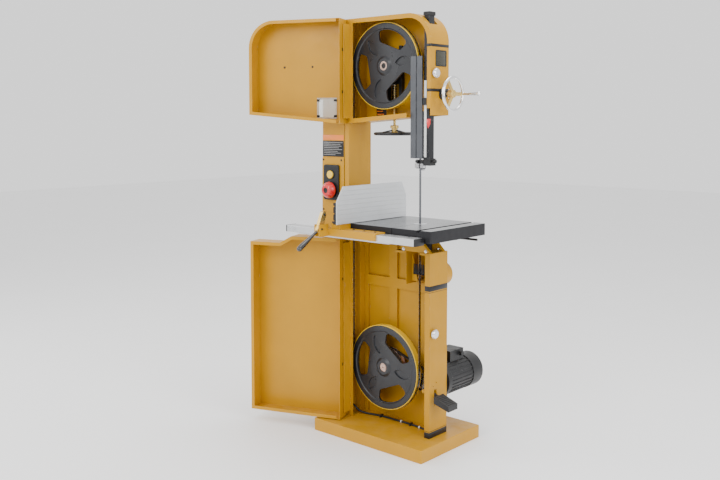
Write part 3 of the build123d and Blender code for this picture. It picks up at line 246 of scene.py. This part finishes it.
fence_silver = surface("fence_aluminium", (0.60, 0.615, 0.63), 0.38, metallic=0.55, worn=(0.75, 0.75, 0.75),
                       grain=220, bump=0.12, stretch=(1, 0.12, 12), mottling=0.05)
steel = surface("machined_steel", (0.46, 0.46, 0.47), 0.28, metallic=1.0, worn=(0.6, 0.6, 0.6), grain=500,
                bump=0.08, mottling=0.12, edge=0.6)
blade_steel = surface("blade_steel", (0.16, 0.165, 0.18), 0.30, metallic=0.9, grain=300, bump=0.1,
                      stretch=(1, 6, 0.2), mottling=0.2, edge=0.3)
chrome = surface("polished_chrome", (0.80, 0.80, 0.81), 0.09, metallic=1.0, grain=60, bump=0.01,
                 mottling=0.03, edge=0.8, rough_span=0.05)
brass = surface("yellow_zinc", (0.62, 0.43, 0.13), 0.30, metallic=0.75, worn=(0.7, 0.66, 0.55), grain=500,
                bump=0.10, mottling=0.18, edge=0.8)
copper_face = surface("hub_bearing_face", (0.52, 0.36, 0.29), 0.32, metallic=0.85, worn=(0.6, 0.5, 0.45),
                      grain=600, bump=0.1, mottling=0.2, edge=0.5)
red = surface("red_plastic", (0.62, 0.018, 0.020), 0.26, worn=(0.35, 0.02, 0.02), grain=500, bump=0.03,
              coat=0.4, mottling=0.06)
yellow_button = surface("yellow_button", (0.82, 0.52, 0.02), 0.28, worn=(0.5, 0.32, 0.02), grain=500,
                        bump=0.03, coat=0.3, mottling=0.06)
orange = surface("orange_print", (0.75, 0.20, 0.02), 0.45, grain=700, bump=0.05, mottling=0.08)
white = surface("white_print", (0.72, 0.72, 0.70), 0.45, grain=700, bump=0.05, mottling=0.08)
grey_print = surface("grey_print", (0.30, 0.30, 0.30), 0.5, grain=700, bump=0.05, mottling=0.1)
window_clear = clear_finish("clear_sheet", (0.75, 0.78, 0.74), 0.08, 0.35)
# the tracking window's pane is a near-black, nearly opaque sheet: painted shade of the housing's inside
shaded_window_sheet = clear_finish("painted_shade_sheet", (0.035, 0.034, 0.022), 0.10, 0.93)
table_iron = table_finish()

FINISHES = {
    paint: ["plinth", "spine_column", "upper_housing", "control_panel", "dust_port", "trunnion_cradles",
            "blade_return_cover", "upper_door", "lower_door", "fence_head"],
    # the cabinet's inside and the chute take the mustard darkened as painted shade
    shaded_inner_paint: ["lower_cabinet", "dust_chute"],
    wheel_black: ["lower_wheel", "upper_wheel"],
    urethane: ["lower_tyre", "upper_tyre"],
    machine_black: ["motor_body", "tension_slide_rails", "table_trunnions", "lower_guide_body",
                    "brake_pedal", "guide_post_bracket", "upper_guide_body", "upper_axle_bracket",
                    "tension_carriage", "lower_shaft_housing", "tension_handwheel"],
    moulded_black: ["switch_box", "switch_cable", "cable_fittings", "tracking_knob", "guide_post_cap",
                    "fence_extrusion", "tilt_lock_lever"],
    grip_black: ["fence_lever_grip"],
    rubber: ["drive_belt"],
    guard_grey: ["blade_guard"],
    post_black: ["guide_post"],
    silver: ["fence_rail", "table_insert"],
    fence_silver: ["fence_face"],
    steel: ["lower_guide_rollers", "upper_guide_rollers", "pinion_shaft", "lower_bearings", "motor_rotor",
            "tension_spring"],
    copper_face: ["upper_hub_bearing", "lower_wheel_spindle"],
    blade_steel: ["saw_blade"],
    chrome: ["guide_handwheel_rim", "upper_door_latch", "lower_door_latch"],
    brass: ["guide_handwheel_hub", "tension_screw", "fence_lever"],
    red: ["stop_button"],
    yellow_button: ["start_button"],
    window_clear: ["door_window"],
    table_iron: ["table"],
}
for finish, names in FINISHES.items():
    for node_name in names:
        node_mesh = nodes[node_name].data
        node_mesh.materials.clear()
        node_mesh.materials.append(finish)


# ---- pieces ----
def piece(name, bm, body, finish, shut_door=False, smooth=True):
    """A mesh object that rides on a body; a door piece is drawn with its door shut and swung open."""
    if shut_door:
        swing = Matrix.Translation(hinge) @ Matrix.Rotation(-door_swing, 4, "Z") @ Matrix.Translation(-hinge)
        bmesh.ops.transform(bm, matrix=swing, verts=bm.verts)
    bmesh.ops.recalc_face_normals(bm, faces=bm.faces)
    mesh = bpy.data.meshes.new(name)
    bm.to_mesh(mesh)
    bm.free()
    if smooth:
        mesh.shade_smooth()
        mesh.set_sharp_from_angle(angle=radians(32))
    mesh.materials.append(finish)
    obj = bpy.data.objects.new(name, mesh)
    bpy.context.scene.collection.objects.link(obj)
    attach(obj, body)
    return obj


def add_plate(bm, low, high, round_by=0.3 * mm, segments=2):
    """A box between two corners with its edges rounded, added to a mesh."""
    low, high = Vector(low), Vector(high)
    made = bmesh.ops.create_cube(bm, size=1)["verts"]
    size = high - low
    bmesh.ops.scale(bm, vec=size, verts=made)
    bmesh.ops.translate(bm, vec=(low + high) / 2, verts=made)
    edges = {edge for vert in made for edge in vert.link_edges}
    reach = min(round_by, 0.45 * min(size))
    bmesh.ops.bevel(bm, geom=list(edges), offset=reach, segments=segments, affect="EDGES", profile=0.5)


def plate(name, low, high, body, finish, round_by=0.3 * mm, shut_door=False):
    bm = bmesh.new()
    add_plate(bm, low, high, round_by)
    return piece(name, bm, body, finish, shut_door)


def add_lathe(bm, profile, at, axis, steps=28):
    """A profile of (radius, height) pairs turned about an axis through a point, added to a mesh."""
    turn = Vector((0, 0, 1)).rotation_difference(Vector(axis)).to_matrix()
    rings = []
    for radius, height in profile:
        if radius < 1e-7:
            rings.append([bm.verts.new(Vector(at) + turn @ Vector((0, 0, height)))])
            continue
        angles = [tau * k / steps for k in range(steps)]
        ring = [Vector((radius * cos(angle), radius * sin(angle), height)) for angle in angles]
        rings.append([bm.verts.new(Vector(at) + turn @ co) for co in ring])
    for one, two in zip(rings, rings[1:]):
        for k in range(steps):
            quad = [one[k % len(one)], one[(k + 1) % len(one)], two[(k + 1) % len(two)], two[k % len(two)]]
            corners = [vert for i, vert in enumerate(quad) if vert not in quad[:i]]
            if len(corners) > 2:
                bm.faces.new(corners)


def add_screw(bm, at, axis, radius=4 * mm, height=2.4 * mm):
    """A domed screw head with a round-bottomed drive recess."""
    profile = [(0, 0), (radius * 0.92, 0), (radius, height * 0.25), (radius * 0.93, height * 0.65),
               (radius * 0.7, height * 0.92), (radius * 0.42, height), (radius * 0.34, height * 0.45),
               (0, height * 0.4)]
    add_lathe(bm, profile, at, axis)


def add_bolt(bm, at, axis, radius=6 * mm, height=5 * mm):
    """A hexagon head on a washer."""
    washer = [(0, 0), (radius * 1.35, 0), (radius * 1.35, height * 0.2), (radius * 0.8, height * 0.25)]
    add_lathe(bm, washer + [(0, height * 0.25)], at, axis)
    head = [(0, height * 0.2), (radius, height * 0.2), (radius, height * 0.85), (radius * 0.88, height)]
    add_lathe(bm, head + [(0, height)], at, axis, steps=6)


# ---- black bands round the right wall and its front lip ----
upper_lip, lower_lip = 20 * mm, 26 * mm
band_edge = 0.15 * mm


def wall_band(name, z0, z1, lip):
    """A black strip on the cabinet's right wall, turned round its front corner."""
    bm = bmesh.new()
    add_plate(bm, (wall_x, front_y - 0.3 * mm, z0), (wall_x + band_t, housing_high.y, z1), band_edge)
    add_plate(bm, (wall_x - lip, front_y - band_t, z0), (wall_x + 0.3 * mm, front_y, z1), band_edge)
    piece(name, bm, "frame", moulded_black)


for name, z0, z1, lip in (
        ("band_upper_high", 1.719, 1.731, upper_lip),
        ("band_upper_low", 1.532, 1.545, upper_lip),
        ("band_lower", 0.690, 0.712, lower_lip),
        ("band_foot", 0.0552, 0.081, lower_lip),
        ("line_foot", 0.0845, 0.0865, lower_lip),
        ("line_lower", 0.6835, 0.6855, lower_lip)):
    wall_band(name, z0, z1, lip)

# bands on the doors' hinge flanges, and on their free edges down to the one at hinge height, drawn shut
door_band_h = 13 * mm
lowest_edge_band = 0.5
for tag, body, heights in (("upper", "top_door", (1.719, 1.532)), ("lower", "bottom_door", (0.690, 0.30))):
    for index, z in enumerate(heights):
        top = z + door_band_h
        bm = bmesh.new()
        add_plate(bm, (door_hinge_x - band_t, door_front_y, z), (door_hinge_x, -112 * mm, top), band_edge)
        if z > lowest_edge_band:
            add_plate(bm, (door_free_x - 0.1 * mm, -165 * mm, z), (door_free_x + band_t, -84 * mm, top),
                      band_edge)
        piece(f"door_band_{tag}_{index}", bm, body, moulded_black, shut_door=True)

# ---- inside of the upper door: clips at the window's corners, and two nuts ----
bm = bmesh.new()
window_low, window_high = (-146.5 * mm, 1427 * mm), (-64.5 * mm, 1506 * mm)
clip_y = (door_front_y + 3 * mm, door_front_y + 5.5 * mm)
clip_half_w, clip_half_h = 7 * mm, 5 * mm
for x in (window_low[0] - 1 * mm, window_high[0] + 1 * mm):
    for z in (window_low[1] + 4 * mm, window_high[1] - 4 * mm):
        add_plate(bm, (x - clip_half_w, clip_y[0], z - clip_half_h),
                  (x + clip_half_w, clip_y[1], z + clip_half_h), 1 * mm)
        add_screw(bm, (x, clip_y[1] - 0.1 * mm, z), (0, 1, 0), 3 * mm)
piece("door_window_clips", bm, "top_door", moulded_black, shut_door=True)
bm = bmesh.new()
for x in (-33.5 * mm, 106.5 * mm):
    add_bolt(bm, (x, door_front_y, 1.655), (0, 1, 0), 3.6 * mm, 3.4 * mm)
piece("door_stud_nuts", bm, "top_door", machine_black, shut_door=True)

# ---- tracking window in the right wall ----
bm = bmesh.new()
window_y, window_z = (-50 * mm, 26 * mm), (1.638, 1.706)
frame_t = 5 * mm
for low_y, high_y, low_z, high_z in (
        (window_y[0], window_y[0] + frame_t, window_z[0] + 3 * mm, window_z[1] - 3 * mm),
        (window_y[1] - frame_t, window_y[1], window_z[0] + 3 * mm, window_z[1] - 3 * mm),
        (window_y[0] + 3 * mm, window_y[1] - 3 * mm, window_z[0], window_z[0] + frame_t),
        (window_y[0] + 3 * mm, window_y[1] - 3 * mm, window_z[1] - frame_t, window_z[1])):
    add_plate(bm, (wall_x, low_y, low_z), (wall_x + 2.2 * mm, high_y, high_z), 1 * mm, 3)
piece("tracking_window_frame", bm, "frame", moulded_black)
# the pane is near-black and nearly opaque: painted shade of the housing's inside
plate("tracking_window_pane", (wall_x - 1 * mm, window_y[0] + 3 * mm, window_z[0] + 3 * mm),
      (wall_x + 1.1 * mm, window_y[1] - 3 * mm, window_z[1] - 3 * mm), "frame", shaded_window_sheet)

# ---- label and controls on the column ----
label_x = (-375 * mm, -243 * mm)
print_x = label_x[0] + 7 * mm
line_pitch, line_half = 8 * mm, 1.1 * mm
plate("column_label", (label_x[0], -82.2 * mm, 1.245), (label_x[1], column_y, 1.318), "frame", moulded_black)
plate("column_label_header", (label_x[0], -82.3 * mm, 1.321), (label_x[1], column_y, 1.345), "frame", orange)
bm = bmesh.new()
for row, length in enumerate((118, 104, 112, 96, 116, 88, 108, 74)):
    z = 1.310 - row * line_pitch
    add_plate(bm, (print_x, -82.5 * mm, z - line_half), (print_x + length * mm, -82.1 * mm, z + line_half),
              0.1 * mm)
piece("column_label_lines", bm, "frame", grey_print)
bm = bmesh.new()
for x in (panel_low.x + 8 * mm, panel_high.x - 16 * mm):
    for z in (panel_low.z + 12 * mm, panel_high.z - 10 * mm):
        add_screw(bm, (x, panel_low.y, z), (0, -1, 0), 4.5 * mm)
piece("control_panel_screws", bm, "frame", machine_black)
stop_low, stop_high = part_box("stop_button")
stop_centre = (stop_low + stop_high) / 2
bm = bmesh.new()
core_profile = [(0, 0), (15, 0), (15, 3), (12.5, 4.5), (6, 3), (0, 2.6)]
add_lathe(bm, [(radius * mm, height * mm) for radius, height in core_profile],
          (stop_centre.x, stop_low.y + 6 * mm, stop_centre.z), (0, -1, 0), 40)
piece("stop_button_core", bm, "stop_key", moulded_black)
start_low, start_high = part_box("start_button")
start_centre = (start_low + start_high) / 2
bm = bmesh.new()
collar_profile = [(18.2, 0), (21.5, 0), (21.5, 2), (19.6, 3.4), (18.4, 2.6), (18.2, 0)]
add_lathe(bm, [(radius * mm, height * mm) for radius, height in collar_profile],
          (start_centre.x, -93 * mm, start_centre.z), (0, -1, 0), 40)
piece("start_button_collar", bm, "frame", machine_black)

# ---- depth scale on the post, with its pointer on the housing ----
scale_x = post_low.x + 15 * mm
tick_pitch = 5 * mm
plate("depth_scale", (post_low.x + 2 * mm, post_low.y - 0.7 * mm, post_low.z + 6 * mm),
      (scale_x, post_low.y, post_low.z + 330 * mm), "upper_guide", white, 0.1 * mm)
bm = bmesh.new()
for tick in range(63):
    z = post_low.z + 12 * mm + tick * tick_pitch
    reach = 8 * mm if tick % 10 == 0 else 6 * mm if tick % 5 == 0 else 3.5 * mm
    add_plate(bm, (scale_x - reach, post_low.y - 0.9 * mm, z - 0.3 * mm),
              (scale_x, post_low.y - 0.6 * mm, z + 0.3 * mm), 0.05 * mm, 1)
piece("depth_scale_ticks", bm, "upper_guide", moulded_black)
bm = bmesh.new()
pointer = [(207, 1.418), (230, 1.418), (230, 1.402), (216, 1.378), (207, 1.400)]
pointer_y = (-56 * mm, -54.2 * mm)
ends = []
for y in pointer_y:
    ends.append([bm.verts.new((x * mm, y, z)) for x, z in pointer])
bm.faces.new(ends[0])
bm.faces.new(ends[1])
for k in range(len(pointer)):
    after = (k + 1) % len(pointer)
    bm.faces.new((ends[0][k], ends[0][after], ends[1][after], ends[1][k]))
bmesh.ops.bevel(bm, geom=bm.edges[:], offset=0.3 * mm, segments=2, affect="EDGES", profile=0.5)
piece("depth_pointer", bm, "frame", red)
bm = bmesh.new()
add_plate(bm, (228 * mm, pointer_y[0], 1.400), (246 * mm, pointer_y[1], 1.416), 0.4 * mm)
add_screw(bm, (236 * mm, pointer_y[0], 1.408), (0, -1, 0), 3.2 * mm)
piece("depth_pointer_arm", bm, "frame", machine_black)

# ---- rail ends and fence hardware ----
for tag, x0, x1 in (
        ("right", rail_high.x - 2 * mm, rail_high.x + 7 * mm),
        ("left", rail_low.x - 6 * mm, rail_low.x + 2 * mm)):
    plate(f"rail_cap_{tag}", (x0, -290.4 * mm, 911.6 * mm), (x1, -231.6 * mm, 941.4 * mm), "work_table",
          moulded_black, 2 * mm)
lever_x = -150 * mm
bm = bmesh.new()
for y, z, half_w in ((-314 * mm, 1.008, 8 * mm), (-338 * mm, 0.948, 17 * mm)):
    for side in (-1, 1):
        add_screw(bm, (lever_x + side * half_w, y, z), (side, 0, 0), 5 * mm)
piece("fence_lever_screws", bm, "fence_clamp", machine_black)
bm = bmesh.new()
for x in (-100 * mm, -20 * mm, 40 * mm, 100 * mm):
    add_screw(bm, (x, -262 * mm, 947.5 * mm), (0, 0, 1), 5 * mm, 3 * mm)
piece("fence_head_screws", bm, "rip_fence", machine_black)

# ---- bolts of the cradles and the trunnions ----
bm = bmesh.new()
cradle_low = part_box("trunnion_cradles")[0]
for x in (cradle_low.x + 12 * mm, 224 * mm):
    for y in (cradle_low.y, -78 * mm + 94 * mm):
        add_bolt(bm, (x, y, 859 * mm), (0, -1, 0), 5 * mm, 5 * mm)
piece("cradle_bolts", bm, "frame", chrome)
bm = bmesh.new()
for x, z in ((150, 905), (185, 902), (120, 915)):
    add_bolt(bm, (x * mm, -78 * mm, z * mm), (0, -1, 0), 4.5 * mm, 4 * mm)
piece("trunnion_bolts", bm, "work_table", chrome)


# ---- warning plate, with plain marks only ----
def label(name, low, high, body, ink, rows):
    """A thin printed plate on a face that looks along -Y, with plain bars for its print."""
    plate(name, (low[0], low[1] - 0.5 * mm, low[2]), (high[0], low[1], high[2]), body, moulded_black,
          0.15 * mm)
    marks = bmesh.new()
    step = (high[2] - low[2]) / (rows + 1)
    for row in range(rows):
        z = high[2] - step * (row + 1)
        reach = (0.78, 0.6, 0.7, 0.5)[row % 4] * (high[0] - low[0])
        add_plate(marks, (low[0] + 4 * mm, low[1] - 0.8 * mm, z - 0.2 * step),
                  (low[0] + 4 * mm + reach, low[1] - 0.45 * mm, z + 0.2 * step), 0.08 * mm, 1)
    piece(f"{name}_marks", marks, body, ink)


label("housing_label", (-150 * mm, 40 * mm, 1.425), (-92 * mm, 40 * mm, 1.480), "frame", orange, 3)

# ---- dust brush at the chute ----
bristle_pitch = 1.9 * mm
bm = bmesh.new()
for index in range(34):
    x = 112 * mm + index * bristle_pitch
    lean = 5 * mm * sin(index * 1.7)
    add_lathe(bm, [(0, 0), (0.9 * mm, 0), (0.55 * mm, (46 + lean * 400) * mm), (0, (47 + lean * 400) * mm)],
              (x, -18 * mm, 0.742), (0.03 * sin(index), 0, 1), 6)
piece("chute_brush", bm, "frame", moulded_black)

# ---- blade teeth along the front edge ----
bm = bmesh.new()
tooth_pitch, tooth_depth, half = 8 * mm, 3.2 * mm, 0.4 * mm
lower_z = (wheel_low.z + wheel_high.z) / 2
upper_low, upper_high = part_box("upper_wheel")
upper_z = (upper_low.z + upper_high.z) / 2
for x in (blade_low.x + half, blade_high.x - half):
    count = int((upper_z - lower_z) / tooth_pitch)
    for k in range(count):
        z = lower_z + k * tooth_pitch
        lean = (-0.25, 0, 0.25)[k % 3] * mm
        corners = []
        for side in (-half, half):
            corners.append([bm.verts.new((x + side, blade_low.y, z)),
                            bm.verts.new((x + side * 0.6 + lean, blade_low.y - tooth_depth, z + 0.8 * mm)),
                            bm.verts.new((x + side, blade_low.y, z + tooth_pitch * 0.9))])
        bm.faces.new(corners[0])
        bm.faces.new(corners[1])
        for i in range(3):
            j = (i + 1) % 3
            bm.faces.new((corners[0][i], corners[0][j], corners[1][j], corners[1][i]))
piece("blade_teeth", bm, "frame", blade_steel, smooth=False)

# ---- ribs on the pedal's tread ----
tread_x, tread_z, tread_slope = 268 * mm, 240 * mm, 26 / 76
rib_pitch = 10 * mm
bm = bmesh.new()
for row in range(7):
    x = tread_x + 8 * mm + row * rib_pitch
    z = tread_z - (x - tread_x) * tread_slope
    add_plate(bm, (x - 1.8 * mm, -66 * mm, z - 1 * mm), (x + 1.8 * mm, -16 * mm, z + 1.4 * mm), 0.7 * mm)
piece("pedal_ribs", bm, "pedal", rubber)

# ---- white ties on the floor cable ----
bm = bmesh.new()
for x, y in ((30, 2.6), (138, -3.6)):
    profile = [(5.0 * mm, -2.6 * mm), (5.9 * mm, -2.6 * mm), (5.9 * mm, 2.6 * mm), (5.0 * mm, 2.6 * mm),
               (5.0 * mm, -2.6 * mm)]
    add_lathe(bm, profile, (x * mm, y * mm, 60.2 * mm), (1, 0.03, 0), 24)
piece("cable_ties", bm, "frame", white)

# ---- knurled ring on the latch knobs ----
knurl_r = 20 * mm
for tag in ("upper", "lower"):
    knob_low, knob_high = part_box(f"{tag}_door_latch")
    centre = ((knob_low.y + knob_high.y) / 2, (knob_low.z + knob_high.z) / 2)
    bm = bmesh.new()
    for k in range(30):
        angle = tau * k / 30
        at = (wall_x + 8 * mm, centre[0] + knurl_r * cos(angle), centre[1] + knurl_r * sin(angle))
        add_lathe(bm, [(0, 0), (1.1 * mm, 0), (1.1 * mm, 5 * mm), (0, 5.6 * mm)], at, (1, 0, 0), 8)
    piece(f"{tag}_latch_knurl", bm, "top_latch" if tag == "upper" else "bottom_latch", chrome)

# ---- screws round the motor's fan cover ----
motor_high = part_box("motor_body")[1]
motor_x, motor_z, cover_r, cover_screws = 180 * mm, 270 * mm, 62 * mm, 8
bm = bmesh.new()
for k in range(cover_screws):
    angle = tau * k / cover_screws
    at = (motor_x + cover_r * cos(angle), motor_high.y - 1 * mm, motor_z + cover_r * sin(angle))
    add_screw(bm, at, (0, 1, 0), 2.6 * mm, 0.9 * mm)
piece("motor_cover_screws", bm, "frame", steel)

# ---- tension spring, drawn as a coil of wire in place of the plain spring part ----
spring_low, spring_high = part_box("tension_spring")
wire_r, turns, around, along = 1.9 * mm, 7, 10, 36
spring_x = (spring_low.x + spring_high.x) / 2
spring_y = (spring_low.y + spring_high.y) / 2
coil_r = (spring_high.x - spring_low.x) / 2 - wire_r
rise = spring_high.z - spring_low.z - 2 * wire_r
bm = bmesh.new()
rings = []
for step in range(turns * along + 1):
    turn = tau * step / along
    height = spring_low.z + wire_r + rise * step / (turns * along)
    out = Vector((cos(turn), sin(turn), 0))
    centre = Vector((spring_x, spring_y, height)) + out * coil_r
    section = [out * cos(tau * k / around) + Vector((0, 0, sin(tau * k / around))) for k in range(around)]
    rings.append([bm.verts.new(centre + wire_r * spoke) for spoke in section])
for one, two in zip(rings, rings[1:]):
    for k in range(around):
        bm.faces.new((one[k], one[(k + 1) % around], two[(k + 1) % around], two[k]))
bm.faces.new(rings[0])
bm.faces.new(rings[-1])
spring_piece = piece("tension_coil", bm, "frame", steel)
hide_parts("tension_spring")
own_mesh(spring_piece)

# ---- floor, lights and camera ----
bm = bmesh.new()
bmesh.ops.create_grid(bm, x_segments=1, y_segments=1, size=14)
floor_mesh = bpy.data.meshes.new("floor")
bm.to_mesh(floor_mesh)
bm.free()
floor_material, floor_tree, floor_shader, floor_add = new_material("pale_floor")
floor_clouds = noise(floor_tree, floor_add, 1.5)
floor_tint = mixed(floor_tree, floor_add, floor_clouds, (0.90, 0.90, 0.90), (0.93, 0.93, 0.93))
floor_tree.links.new(floor_tint, floor_shader.inputs["Base Color"])
floor_shader.inputs["Roughness"].default_value = 0.55
floor_mesh.materials.append(floor_material)
floor = bpy.data.objects.new("floor", floor_mesh)
bpy.context.scene.collection.objects.link(floor)

world = bpy.data.worlds.new("studio")
world.use_nodes = True
world.node_tree.nodes["Background"].inputs["Color"].default_value = (1, 1, 1, 1)
world.node_tree.nodes["Background"].inputs["Strength"].default_value = 1.35
bpy.context.scene.world = world


def softbox(name, at, target, size, power):
    """A square area light aimed at a point."""
    data = bpy.data.lights.new(name, "AREA")
    data.shape = "SQUARE"
    data.size = size
    data.energy = power
    light = bpy.data.objects.new(name, data)
    light.location = at
    light.rotation_euler = (Vector(target) - Vector(at)).to_track_quat("-Z", "Y").to_euler()
    bpy.context.scene.collection.objects.link(light)


softbox("key", (0.2, -4.2, 3.2), (0, 0, 1.0), 2.4, 120)
softbox("side", (4.0, -0.6, 2.2), (0.1, 0, 1.0), 2.2, 90)
softbox("left", (-3.6, -2.2, 2.4), (-0.2, 0, 1.0), 2.0, 55)
softbox("top", (0.4, 0.6, 4.6), (0, 0, 1.0), 2.6, 90)

camera_data = bpy.data.cameras.new("camera")
camera_data.sensor_width = 36
camera_data.lens = 43.90
camera_data.shift_y = -0.0889
camera_data.dof.use_dof = False
camera = bpy.data.objects.new("camera", camera_data)
camera.location = (2.4615, -3.0145, 1.420)
camera.rotation_euler = (radians(90 - 3.748), 0, radians(41.62))
bpy.context.scene.collection.objects.link(camera)
bpy.context.scene.camera = camera
